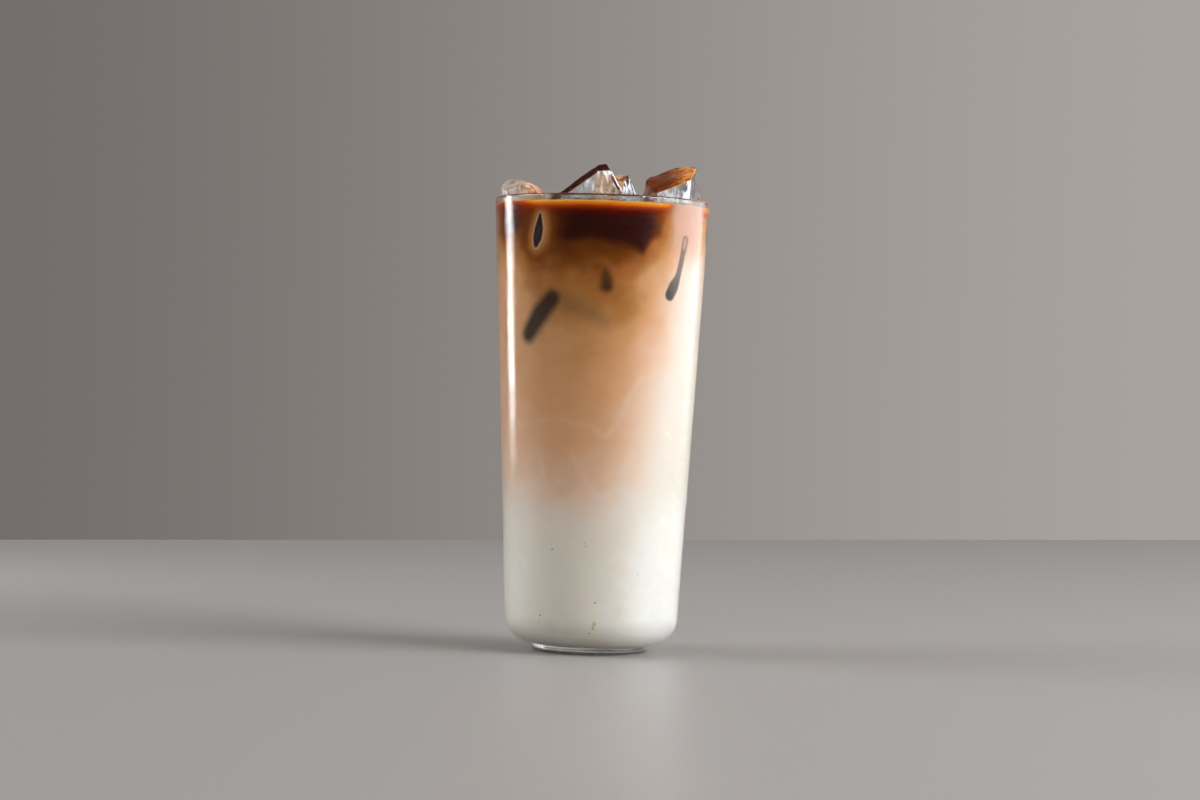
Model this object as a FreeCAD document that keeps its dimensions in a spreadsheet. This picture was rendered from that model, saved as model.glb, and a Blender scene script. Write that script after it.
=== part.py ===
import FreeCAD, Part
import math
import os
import Sketcher

# A layered iced latte in a tall, slightly tapered glass tumbler: white milk at the bottom, a tan
# blend above it, dark coffee on top, and four pieces of ice that float and stand proud of the rim.
# Millimetres, +Z up, origin on the table under the middle of the foot.

SIZES = [
    # The tumbler: a thin straight wall, a round shoulder under it and a flat foot ring.
    ("glass_height", 148.0),
    ("rim_radius", 35.3),
    ("base_radius", 28.0),
    ("wall_thickness", 1.25),
    ("floor_thickness", 2.4),
    ("foot_radius", 19.0),
    ("foot_height", 2.4),
    ("foot_ledge", 0.4),
    # The drink: how far its surface lies below the rim, the depth of milk on the floor and of
    # coffee under the surface, and how far the two boundaries swing up and down.
    ("surface_below_rim", 3.0),
    ("milk_depth", 45.2),
    ("coffee_depth", 18.0),
    ("milk_top_wave", 1.4),
    ("coffee_foot_wave", 2.6),
    # The ice: melt rounds every edge, and each piece keeps this far from the wall.
    ("ice_melt", 1.4),
    ("ice_wall_gap", 0.5),
    ("ice_piece_gap", 0.6),
    # Low round hump at the left.
    ("ice_left_width", 15.0),
    ("ice_left_depth", 13.0),
    ("ice_left_height", 20.0),
    ("ice_left_offset", -28.9),
    ("ice_left_rise", -1.3),
    # Slab set on its corner in front of the middle.
    ("ice_centre_width", 26.0),
    ("ice_centre_depth", 12.0),
    ("ice_centre_height", 20.0),
    ("ice_centre_offset", -4.9),
    ("ice_centre_front", -10.0),
    ("ice_centre_rise", -1.4),
    # Small cube behind the slab.
    ("ice_back_width", 13.0),
    ("ice_back_depth", 13.0),
    ("ice_back_height", 20.0),
    ("ice_back_offset", 4.2),
    ("ice_back_rise", 1.6),
    # Large wedge at the right, standing upright.
    ("ice_right_width", 14.8),
    ("ice_right_depth", 15.8),
    ("ice_right_height", 27.0),
    ("ice_right_offset", 22.6),
    ("ice_right_front", -4.1),
    ("ice_right_rise", 1.2),
]

# How each piece of ice is turned: turn about Z, lean about Y, nod about X, in degrees, and the
# bevels across its top, as shares of its width and height: (left run, left drop) along the width
# and (front run, front drop) along the depth.
ICE_SHAPE = {
    "ice_left": {"turn": -8.0, "lean": 22.0, "nod": 4.0, "left": (0.30, 0.12), "front": (0.45, 0.20)},
    "ice_centre": {"turn": 5.0, "lean": -36.0, "nod": 0.0, "left": (0.16, 0.15), "front": (0.40, 0.12)},
    "ice_back": {"turn": 25.0, "lean": -5.0, "nod": 5.0, "left": (0.35, 0.10), "front": (0.50, 0.16)},
    "ice_right": {"turn": -20.0, "lean": 0.0, "nod": 0.0, "left": (0.62, 0.17), "front": (0.60, 0.26)},
}

# The slow waves of a boundary between two layers: waves across X, waves across Y and phase of each.
MILK_WAVES = ((1.3, 0.6, 0.4), (0.5, 1.7, 2.1), (2.4, 1.1, 4.0))
COFFEE_WAVES = ((0.7, 0.5, 5.2), (1.5, 0.9, 1.2), (0.4, 1.9, 3.3))
WAVE_GRID = 9

# The room for the ice is carried this far above the highest piece.
ROOM_ABOVE_ICE = 1.0

document = FreeCAD.newDocument("latte")
sheet = document.addObject("Spreadsheet::Sheet", "sizes")
for row, (alias, size) in enumerate(SIZES, start=1):
    sheet.set("A%d" % row, alias)
    sheet.set("B%d" % row, str(size))
    sheet.setAlias("B%d" % row, alias)
document.recompute()

# Sizes that follow from the driving ones, written as expressions on the sheet's cells.
LEVEL = "(sizes.glass_height - sizes.surface_below_rim)"
TAPER = "((sizes.rim_radius - sizes.base_radius) / (sizes.glass_height - sizes.foot_height))"
INNER_FLOOR = "(sizes.foot_height + sizes.floor_thickness)"
INNER_BASE_RADIUS = "(sizes.base_radius + %s * sizes.floor_thickness - sizes.wall_thickness)" % TAPER
INNER_RIM_RADIUS = "(sizes.rim_radius - sizes.wall_thickness)"
LEVEL_RADIUS = "(%s - %s * sizes.surface_below_rim)" % (INNER_RIM_RADIUS, TAPER)
OUTER_SHOULDER = (
    "((sizes.base_radius - sizes.foot_radius - sizes.foot_ledge) * tan(45deg + atan(%s) / 2))" % TAPER
)
INNER_SHOULDER = "(%s - sizes.wall_thickness)" % OUTER_SHOULDER
RIM_ROUND = "(0.45 * sizes.wall_thickness)"
MILK_TOP = "(%s + sizes.milk_depth)" % INNER_FLOOR
COFFEE_FOOT = "(%s - sizes.coffee_depth)" % LEVEL


def half_reach(name):
    """Half of what a turned piece of ice takes up from front to back, as an expression."""
    turn = abs(ICE_SHAPE[name]["turn"])
    return "(sizes.%s_depth * cos(%fdeg) + sizes.%s_width * sin(%fdeg)) / 2" % (name, turn, name, turn)


BEHIND_SLAB = "(sizes.ice_centre_front + %s + sizes.ice_piece_gap)" % half_reach("ice_centre")


def measure(expression):
    """The plain number that an expression on the sheet gives now."""
    result = sheet.evalExpression(expression)
    return float(getattr(result, "Value", result))


def outline(body, name, plane_role, corners):
    """A closed sketch through corners, each a pair of expressions, tied to the sketch's own axes."""
    sketch = body.newObject("Sketcher::SketchObject", name)
    plane = next(item for item in body.Origin.OriginFeatures if item.Role == plane_role)
    sketch.AttachmentSupport = [(plane, "")]
    sketch.MapMode = "FlatFace"
    points = [FreeCAD.Vector(measure(across), measure(up), 0) for across, up in corners]
    for index, point in enumerate(points):
        sketch.addGeometry(Part.LineSegment(point, points[(index + 1) % len(points)]), False)
    for index in range(len(points)):
        following = (index + 1) % len(points)
        sketch.addConstraint(Sketcher.Constraint("Coincident", index, 2, following, 1))
    for index, pair in enumerate(corners):
        for kind, axis, expression in zip(("DistanceX", "DistanceY"), (-2, -1), pair):
            if expression == "0":
                sketch.addConstraint(Sketcher.Constraint("PointOnObject", index, 1, axis))
            else:
                size = measure(expression)
                number = sketch.addConstraint(Sketcher.Constraint(kind, -1, 1, index, 1, size))
                sketch.setExpression("Constraints[%d]" % number, expression)
    return sketch


def turned(body, kind, name, sketch):
    """A full turn of a sketch about the body's vertical axis."""
    feature = body.newObject(kind, name)
    feature.Profile = sketch
    feature.ReferenceAxis = (sketch, ["V_Axis"])
    feature.Angle = 360.0
    document.recompute()
    return feature


def round_ring(body, name, base, radius, height, rounding):
    """Rounds the circular edge of a turned body that has this radius and height."""
    edges = []
    for number, edge in enumerate(base.Shape.Edges, start=1):
        curve = edge.Curve
        if isinstance(curve, Part.Circle) and math.isclose(curve.Radius, measure(radius), abs_tol=1e-4):
            if math.isclose(curve.Center.z, measure(height), abs_tol=1e-4):
                edges.append("Edge%d" % number)
    feature = body.newObject("PartDesign::Fillet", name)
    feature.Base = (base, edges)
    feature.Radius = measure(rounding)
    feature.setExpression("Radius", rounding)
    document.recompute()
    return feature


def cavity_corners(top_radius, top_height):
    """Half the section of the inside of the glass up to a height."""
    return [
        ("0", INNER_FLOOR),
        (INNER_BASE_RADIUS, INNER_FLOOR),
        (top_radius, top_height),
        ("0", top_height),
    ]


def make_glass():
    """The tumbler: turned outside, turned-out inside, round shoulders and a fire-polished rim."""
    body = document.addObject("PartDesign::Body", "glass")
    outside = outline(body, "glass_outside", "XZ_Plane", [
        ("0", "0"),
        ("sizes.foot_radius", "0"),
        ("sizes.foot_radius", "sizes.foot_height"),
        ("sizes.base_radius", "sizes.foot_height"),
        ("sizes.rim_radius", "sizes.glass_height"),
        ("0", "sizes.glass_height"),
    ])
    blank = turned(body, "PartDesign::Revolution", "glass_blank", outside)
    inside = outline(
        body, "glass_inside", "XZ_Plane", cavity_corners(INNER_RIM_RADIUS, "sizes.glass_height")
    )
    hollow = turned(body, "PartDesign::Groove", "glass_hollow", inside)
    if hollow.Shape.Volume > 0.5 * blank.Shape.Volume:
        raise RuntimeError("the inside of the glass was not cut out")
    shoulder = round_ring(
        body, "glass_shoulder", hollow, "sizes.base_radius", "sizes.foot_height", OUTER_SHOULDER
    )
    floor_edge = round_ring(
        body, "glass_floor_edge", shoulder, INNER_BASE_RADIUS, INNER_FLOOR, INNER_SHOULDER
    )
    outer_lip = round_ring(
        body, "glass_outer_lip", floor_edge, "sizes.rim_radius", "sizes.glass_height", RIM_ROUND
    )
    body.Tip = round_ring(
        body, "glass_inner_lip", outer_lip, INNER_RIM_RADIUS, "sizes.glass_height", RIM_ROUND
    )
    return body


def make_filling():
    """Everything that the glass holds below the drink's surface."""
    body = document.addObject("PartDesign::Body", "filling")
    inside = outline(body, "filling_section", "XZ_Plane", cavity_corners(LEVEL_RADIUS, LEVEL))
    block = turned(body, "PartDesign::Revolution", "filling_block", inside)
    body.Tip = round_ring(
        body, "filling_floor_edge", block, INNER_BASE_RADIUS, INNER_FLOOR, INNER_SHOULDER
    )
    return body


def make_ice_room(ice_top):
    """The tapered room that ice can float in: the wall's inside less the gap, carried on upward."""
    room = document.addObject("Part::Cone", "ice_room")
    slope = "%s * (%f - %s)" % (TAPER, ice_top, INNER_FLOOR)
    room.setExpression("Radius1", "%s - sizes.ice_wall_gap" % INNER_BASE_RADIUS)
    room.setExpression("Radius2", "%s + %s - sizes.ice_wall_gap" % (INNER_BASE_RADIUS, slope))
    room.setExpression("Height", "%f - %s" % (ice_top, INNER_FLOOR))
    room.setExpression("Placement.Base.z", INNER_FLOOR)
    return room


def make_ice_block(name, place):
    """A cube with a bevel at the top left and a slope at the top front, melted round all over."""
    shape = ICE_SHAPE[name]
    half_width = "sizes.%s_width / 2" % name
    half_depth = "sizes.%s_depth / 2" % name
    half_height = "sizes.%s_height / 2" % name
    left_run, left_drop = shape["left"]
    front_run, front_drop = shape["front"]
    body = document.addObject("PartDesign::Body", name + "_block")
    front = outline(body, name + "_front", "XZ_Plane", [
        ("-" + half_width, "-" + half_height),
        (half_width, "-" + half_height),
        (half_width, half_height),
        ("%f * sizes.%s_width - %s" % (left_run, name, half_width), half_height),
        ("-" + half_width, "%s - %f * sizes.%s_height" % (half_height, left_drop, name)),
    ])
    cube = body.newObject("PartDesign::Pad", name + "_cube")
    cube.Profile = front
    cube.Midplane = True
    cube.setExpression("Length", "sizes.%s_depth" % name)
    document.recompute()
    side = outline(body, name + "_side", "YZ_Plane", [
        ("-" + half_depth, "%s - %f * sizes.%s_height" % (half_height, front_drop, name)),
        ("%f * sizes.%s_depth - %s" % (front_run, name, half_depth), half_height),
        ("-" + half_depth, half_height),
    ])
    slope = body.newObject("PartDesign::Pocket", name + "_slope")
    slope.Profile = side
    slope.Midplane = True
    slope.setExpression("Length", "2 * sizes.%s_width" % name)
    document.recompute()
    if slope.Shape.Volume > 0.999 * cube.Shape.Volume:
        raise RuntimeError("the slope of %s was not cut" % name)
    melted = body.newObject("PartDesign::Fillet", name + "_melted")
    melted.Base = (slope, [])
    melted.UseAllEdges = True
    melted.setExpression("Radius", "sizes.ice_melt")
    body.Tip = melted
    body.Placement = FreeCAD.Placement(
        FreeCAD.Vector(0, 0, 0), FreeCAD.Rotation(shape["turn"], shape["lean"], shape["nod"])
    )
    for axis, expression in zip("xyz", place):
        body.setExpression("Placement.Base." + axis, expression)
    document.recompute()
    return body


def combine(kind, name, base, tool):
    """A Part boolean of two objects."""
    result = document.addObject(kind, name)
    result.Base = base
    result.Tool = tool
    document.recompute()
    return result


def make_ice():
    """The four pieces that stand proud, each kept inside the glass."""
    places = {
        "ice_left": (
            "sizes.ice_left_offset",
            BEHIND_SLAB + " + " + half_reach("ice_left"),
            LEVEL + " + sizes.ice_left_rise",
        ),
        "ice_centre": (
            "sizes.ice_centre_offset",
            "sizes.ice_centre_front",
            LEVEL + " + sizes.ice_centre_rise",
        ),
        "ice_back": (
            "sizes.ice_back_offset",
            BEHIND_SLAB + " + " + half_reach("ice_back"),
            LEVEL + " + sizes.ice_back_rise",
        ),
        "ice_right": (
            "sizes.ice_right_offset",
            "sizes.ice_right_front",
            LEVEL + " + sizes.ice_right_rise",
        ),
    }
    blocks = {name: make_ice_block(name, place) for name, place in places.items()}
    ice_top = max(block.Shape.BoundBox.ZMax for block in blocks.values()) + ROOM_ABOVE_ICE
    room = make_ice_room(ice_top)
    return [combine("Part::Common", name, block, room) for name, block in blocks.items()]


def make_space_under(name, level, swing, waves):
    """All the space under a gently uneven boundary: a wavy sheet carried straight down."""
    reach = measure("sizes.rim_radius") + 1.0
    mean = measure(level)
    lift = measure(swing) / len(waves)
    rows = []
    for i in range(WAVE_GRID):
        across = -reach + 2 * reach * i / (WAVE_GRID - 1)
        row = []
        for j in range(WAVE_GRID):
            along = -reach + 2 * reach * j / (WAVE_GRID - 1)
            bump = sum(
                math.sin(math.pi * (a * across + b * along) / reach + phase) for a, b, phase in waves
            )
            row.append(FreeCAD.Vector(across, along, mean + lift * bump))
        rows.append(row)
    surface = Part.BSplineSurface()
    surface.interpolate(rows)
    space = document.addObject("Part::Feature", name)
    space.Shape = surface.toShape().extrude(FreeCAD.Vector(0, 0, -mean))
    space.Placement = FreeCAD.Placement()
    return space


def make_drink(ice):
    """Milk, blend and coffee: one filling parted at two wavy boundaries, with room for the ice."""
    filling = make_filling()
    under_milk_top = make_space_under("under_milk_top", MILK_TOP, "sizes.milk_top_wave", MILK_WAVES)
    under_coffee = make_space_under("under_coffee", COFFEE_FOOT, "sizes.coffee_foot_wave", COFFEE_WAVES)
    ice_group = document.addObject("Part::Compound", "ice_group")
    ice_group.Links = ice
    milk = combine("Part::Common", "milk", filling, under_milk_top)
    above_milk = combine("Part::Cut", "above_milk", filling, under_milk_top)
    blend = combine("Part::Common", "blend", above_milk, under_coffee)
    top = combine("Part::Cut", "top_layer", above_milk, under_coffee)
    milk_coffee = combine("Part::Cut", "milk_coffee", blend, ice_group)
    coffee = combine("Part::Cut", "coffee", top, ice_group)
    return [milk, milk_coffee, coffee]


def check_document():
    """Stops on any object that did not come out."""
    for item in document.Objects:
        if "Invalid" in item.State or "Error" in item.State:
            raise RuntimeError("%s did not recompute: %s" % (item.Name, item.State))


def check_part(part):
    """Stops on a shape that is empty, not valid or in more than one piece."""
    if part.Shape.isNull() or not part.Shape.isValid():
        raise RuntimeError("%s has no valid shape" % part.Label)
    if len(part.Shape.Solids) != 1:
        raise RuntimeError("%s is %d solids" % (part.Label, len(part.Shape.Solids)))


glass = make_glass()
ice_pieces = make_ice()
layers = make_drink(ice_pieces)
parts = [glass] + layers + ice_pieces
document.recompute()
check_document()
for part in parts:
    check_part(part)
os.makedirs("parts", exist_ok=True)
for part in parts:
    part.Shape.exportStep("parts/%s.step" % part.Label)
    box = part.Shape.BoundBox
    print(
        "%-12s %9.0f mm3  x %6.1f %6.1f  y %6.1f %6.1f  z %6.1f %6.1f"
        % (part.Label, part.Shape.Volume, box.XMin, box.XMax, box.YMin, box.YMax, box.ZMin, box.ZMax)
    )
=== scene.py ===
import math
import random

import bmesh
import bpy
from mathutils import Matrix, Vector, noise
from mathutils.kdtree import KDTree


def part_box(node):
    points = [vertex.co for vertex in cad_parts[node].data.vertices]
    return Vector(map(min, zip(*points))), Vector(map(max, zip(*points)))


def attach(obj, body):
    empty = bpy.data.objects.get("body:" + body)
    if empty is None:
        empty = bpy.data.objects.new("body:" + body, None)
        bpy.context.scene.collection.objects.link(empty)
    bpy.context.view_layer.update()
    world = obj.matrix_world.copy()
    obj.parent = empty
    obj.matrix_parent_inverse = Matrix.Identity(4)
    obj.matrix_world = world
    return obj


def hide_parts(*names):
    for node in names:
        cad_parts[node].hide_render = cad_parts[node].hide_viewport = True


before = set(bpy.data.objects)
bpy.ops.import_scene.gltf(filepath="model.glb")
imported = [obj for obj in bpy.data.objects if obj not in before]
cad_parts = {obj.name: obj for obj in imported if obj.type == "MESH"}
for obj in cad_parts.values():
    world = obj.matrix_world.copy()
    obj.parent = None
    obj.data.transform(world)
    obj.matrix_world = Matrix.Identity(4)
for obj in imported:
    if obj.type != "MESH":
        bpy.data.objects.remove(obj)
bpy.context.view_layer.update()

# A layered iced latte in a tall glass: the tumbler, the drink with its slow layers and swirls, the
# ice that floats proud of the rim, the ice that presses against the wall under the surface, and the
# flecks in the milk. Lengths are in metres; MM turns millimetres into metres. Bearings are in
# degrees round the glass from its front, growing to the right.
MM = 0.001

# The curls in the drink are seeded here, so that they come out the same in every run.
CURL_SEED = 27
noise.seed_set(CURL_SEED)

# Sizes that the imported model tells.
GLASS_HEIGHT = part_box("glass")[1][2]
RIM_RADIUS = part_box("glass")[1][0]
INNER_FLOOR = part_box("milk")[0][2]
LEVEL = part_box("coffee")[1][2]

# Sizes of the tumbler that its boxes don't tell.
WALL = 1.25 * MM
BASE_RADIUS = 28.0 * MM
FOOT_RADIUS = 19.0 * MM
FOOT_HEIGHT = 2.4 * MM
FOOT_LEDGE = 0.4 * MM
FOOT_BEVEL = 1.5 * MM
FOOT_FILLET = 0.25 * MM
TAPER = (RIM_RADIUS - BASE_RADIUS) / (GLASS_HEIGHT - FOOT_HEIGHT)
LEAN = math.atan(TAPER)
SHOULDER = (BASE_RADIUS - FOOT_RADIUS - FOOT_LEDGE) * math.tan(math.radians(45) + LEAN / 2)

# The drink reaches this far into the wall, so no film of air shows between them.
REACH = 0.15 * MM
# The liquid climbs the wall by this much, over this width.
MENISCUS_RISE = 0.9 * MM
MENISCUS_WIDTH = 2.6 * MM
MENISCUS_RINGS = 8
SURFACE_RINGS = 14

# How finely turned shapes are cut: degrees between columns, and metres between rows up the wall. The
# drink is cut finer between the bearings where ice shows a clear edge on it. The tumbler's plain
# walls need fewer rows: so many outside, and every so many of the drink's rows inside.
TURN_STEP = 1.0
FINE_STEP = 0.4
FINE_ZONES = ((-46.0, -28.0), (36.0, 57.0), (157.0, 171.0))
ROW_STEP = 0.4 * MM
OUTER_ROWS = 60
INNER_ROW_SKIP = 4


def linear(hex_colour):
    """An sRGB hex colour as linear RGBA."""
    channels = [int(hex_colour[i:i + 2], 16) / 255 for i in (1, 3, 5)]
    return tuple(c / 12.92 if c <= 0.04045 else ((c + 0.055) / 1.055) ** 2.4 for c in channels) + (1.0,)


def smooth_step(low, high, value):
    """0 below low, 1 above high and an even S between them."""
    share = min(1.0, max(0.0, (value - low) / (high - low)))
    return share * share * (3 - 2 * share)


def straight_ramp(low, high, value):
    """0 below low, 1 above high and a straight line between them."""
    return min(1.0, max(0.0, (value - low) / (high - low)))


def bearing_of(spot):
    """The bearing of a place in degrees."""
    return math.degrees(math.atan2(spot.x, -spot.y))


def swell(spot, size, shift=Vector()):
    """Smooth noise from -1 to 1 at a place, with swells this many mm across."""
    return noise.noise(spot / (size * MM) + shift)


def pattern_scale(size):
    """The scale of a pattern whose features are this many mm across."""
    return 1 / (size * MM)


def add_object(name, mesh, materials):
    """Puts a mesh in the scene with its materials and smooth faces."""
    piece = bpy.data.objects.new(name, mesh)
    bpy.context.scene.collection.objects.link(piece)
    for material in materials:
        mesh.materials.append(material)
    for face in mesh.polygons:
        face.use_smooth = True
    return piece


def store(piece, name, values):
    """Stores a number from 0 to 1 at each point of a piece, for its material to read."""
    layer = piece.data.attributes.new(name, "FLOAT", "POINT")
    layer.data.foreach_set("value", [min(1.0, max(0.0, value)) for value in values])


def add_node(tree, kind, settings=None, **sockets):
    """Adds a node, sets its properties and fills its sockets with values or other nodes' outputs."""
    node = tree.nodes.new(kind)
    for key, value in (settings or {}).items():
        setattr(node, key, value)
    for key, value in sockets.items():
        socket = node.inputs[int(key[1:])] if key[1:].isdigit() else node.inputs[key.replace("_", " ")]
        if isinstance(value, bpy.types.NodeSocket):
            tree.links.new(value, socket)
        else:
            socket.default_value = value
    return node


def new_material(name):
    """An empty node material with its output node."""
    material = bpy.data.materials.new(name)
    material.use_nodes = True
    material.node_tree.nodes.clear()
    return material, material.node_tree, material.node_tree.nodes.new("ShaderNodeOutputMaterial")


# ---------------------------------------------------------------- finishes

def tumbler_glass():
    """Pressed soda-lime glass, fire-polished: clear, with a faint waviness that frays a highlight.

    The draw lines are 3.85 mm apart and run up the wall; the breath of moisture on the cold glass
    is grained at 0.67 mm, coarser than real mist, so that it shows.
    """
    material, tree, output = new_material("soda_lime_glass")
    place = add_node(tree, "ShaderNodeTexCoord").outputs["Object"]
    drawn = add_node(tree, "ShaderNodeMapping", Vector=place, Scale=(1.0, 1.0, 0.04))
    lines = add_node(tree, "ShaderNodeTexNoise", Vector=drawn.outputs["Vector"],
                     Scale=pattern_scale(3.846), Detail=2.0)
    mist = add_node(tree, "ShaderNodeTexNoise", Vector=place, Scale=pattern_scale(0.6667), Detail=2.0,
                    Roughness=0.6)
    both = add_node(tree, "ShaderNodeMath", {"operation": "MULTIPLY_ADD"},
                    _0=lines.outputs["Fac"], _1=1.2, _2=mist.outputs["Fac"])
    bump = add_node(tree, "ShaderNodeBump", Strength=0.24, Distance=0.3 * MM,
                    Height=both.outputs["Value"])
    shader = add_node(tree, "ShaderNodeBsdfPrincipled", Base_Color=linear("#FBFDFC"), Roughness=0.015,
                      IOR=1.5, Transmission_Weight=1.0, Normal=bump.outputs["Normal"])
    tree.links.new(shader.outputs["BSDF"], output.inputs["Surface"])
    return material


# What the eye sees as coffee runs out into milk: the share of coffee in the mix, and its colour.
MIX_COLOURS = (
    (0.00, "#F6F4EF"),
    # A share of 0.04 gives the milk a cream tint, a painted warm shade.
    (0.04, "#F1EADD"),
    (0.10, "#F2E6D9"),
    (0.25, "#F3D6BC"),
    (0.42, "#EABD93"),
    (0.50, "#E5B17F"),
    (0.55, "#DFAA73"),
    (0.63, "#C98F4E"),
    (0.70, "#BD7838"),
    (0.80, "#8B4A08"),
    (0.92, "#5A2000"),
    (1.00, "#350602"),
)
# The wedge of neat coffee that climbs the wall: it is amber where thin and reddens as it thickens,
# partly the colour of thin coffee and partly painted glow of the light that comes through it. Place,
# colour and how fully it hides the mix.
COFFEE_EDGE_GLOW = (
    (0.00, "#7A0A00", 0.00),
    (0.29, "#8C0400", 0.15),
    (0.41, "#8E0800", 0.30),
    (0.51, "#941B00", 0.45),
    (0.61, "#B53303", 0.60),
    (0.73, "#CC4E01", 0.80),
    (0.83, "#FA8203", 0.95),
    (0.95, "#F9A42E", 1.00),
)
# The rosy haze in front of the coffee, partly milk that clings to the wall and partly painted sheen
# where the lamps fall, and the painted shade of sunk ice seen through brown mix and through clearer
# coffee.
HAZE_AND_SHEEN_COLOUR = "#D5AA97"
ICE_SHADE_WARM = "#26120E"
ICE_SHADE_COOL = "#2C2733"
# How far the grain of the mix swings its share of coffee.
GRAIN_SHARE = 0.05


def colour_ramp(tree, factor, stops):
    """A colour ramp through (place, hex colour) stops, or (place, hex colour, alpha) ones."""
    ramp = add_node(tree, "ShaderNodeValToRGB", Fac=factor)
    elements = ramp.color_ramp.elements
    while len(elements) < len(stops):
        elements.new(0.5)
    for element, stop in zip(elements, sorted(stops)):
        element.position = stop[0]
        element.color = linear(stop[1])
        element.alpha = stop[2] if len(stop) > 2 else 1.0
    return ramp


def painted_value(tree, name):
    """Reads a number that is stored at each point of a piece."""
    return add_node(tree, "ShaderNodeAttribute", {"attribute_name": name}).outputs["Fac"]


def drink_colour(tree):
    """The mix's colour: its share of coffee with a 6.7 mm grain, the painted glow of thin neat coffee,
    the haze of milk at the wall with its painted sheen, and the painted shade of sunk ice."""
    place = add_node(tree, "ShaderNodeTexCoord").outputs["Object"]
    grain = add_node(tree, "ShaderNodeTexNoise", Vector=place, Scale=pattern_scale(6.667), Detail=4.0,
                     Distortion=1.2)
    stirred = add_node(tree, "ShaderNodeMath", {"operation": "MULTIPLY_ADD"},
                       _0=grain.outputs["Fac"], _1=GRAIN_SHARE, _2=painted_value(tree, "coffee_share"))
    settled = add_node(tree, "ShaderNodeMath", {"operation": "SUBTRACT"},
                       _0=stirred.outputs["Value"], _1=GRAIN_SHARE / 2)
    mixed = colour_ramp(tree, settled.outputs["Value"], MIX_COLOURS)
    glow = colour_ramp(tree, painted_value(tree, "coffee_edge_glow"), COFFEE_EDGE_GLOW)
    rimmed = add_node(tree, "ShaderNodeMix", {"data_type": "RGBA"},
                      _0=glow.outputs["Alpha"], _6=mixed.outputs["Color"], _7=glow.outputs["Color"])
    hazed = add_node(tree, "ShaderNodeMix", {"data_type": "RGBA"},
                     _0=painted_value(tree, "haze_and_sheen"), _6=rimmed.outputs[2], _7=linear(HAZE_AND_SHEEN_COLOUR))
    ice_tone = add_node(tree, "ShaderNodeMix", {"data_type": "RGBA"},
                        _0=painted_value(tree, "ice_shade_cool"), _6=linear(ICE_SHADE_WARM), _7=linear(ICE_SHADE_COOL))
    iced = add_node(tree, "ShaderNodeMix", {"data_type": "RGBA"},
                    _0=painted_value(tree, "ice_shade"), _6=hazed.outputs[2], _7=ice_tone.outputs[2])
    return iced.outputs[2]


def drink_side():
    """The mix against the glass: matt, and milky enough to let light creep a few millimetres."""
    material, tree, output = new_material("latte_against_glass")
    shader = add_node(tree, "ShaderNodeBsdfPrincipled", Base_Color=drink_colour(tree), Roughness=0.9,
                      Specular_IOR_Level=0.0, Subsurface_Weight=0.35,
                      Subsurface_Radius=(1.0, 0.6, 0.35), Subsurface_Scale=4 * MM)
    tree.links.new(shader.outputs["BSDF"], output.inputs["Surface"])
    return material


def drink_surface():
    """The open surface of the coffee: wet and mirror-smooth, with 11 mm traces of pale foam."""
    material, tree, output = new_material("coffee_surface")
    place = add_node(tree, "ShaderNodeTexCoord").outputs["Object"]
    foam = add_node(tree, "ShaderNodeTexNoise", Vector=place, Scale=pattern_scale(11.11), Detail=5.0,
                    Distortion=2.0)
    colour = colour_ramp(tree, foam.outputs["Fac"], (
        (0.35, "#2A0B03"), (0.55, "#4A1D08"), (0.66, "#7C430F"), (0.78, "#B47C3C")))
    shader = add_node(tree, "ShaderNodeBsdfPrincipled", Base_Color=colour.outputs["Color"],
                      Roughness=0.06, IOR=1.34)
    tree.links.new(shader.outputs["BSDF"], output.inputs["Surface"])
    return material


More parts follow.
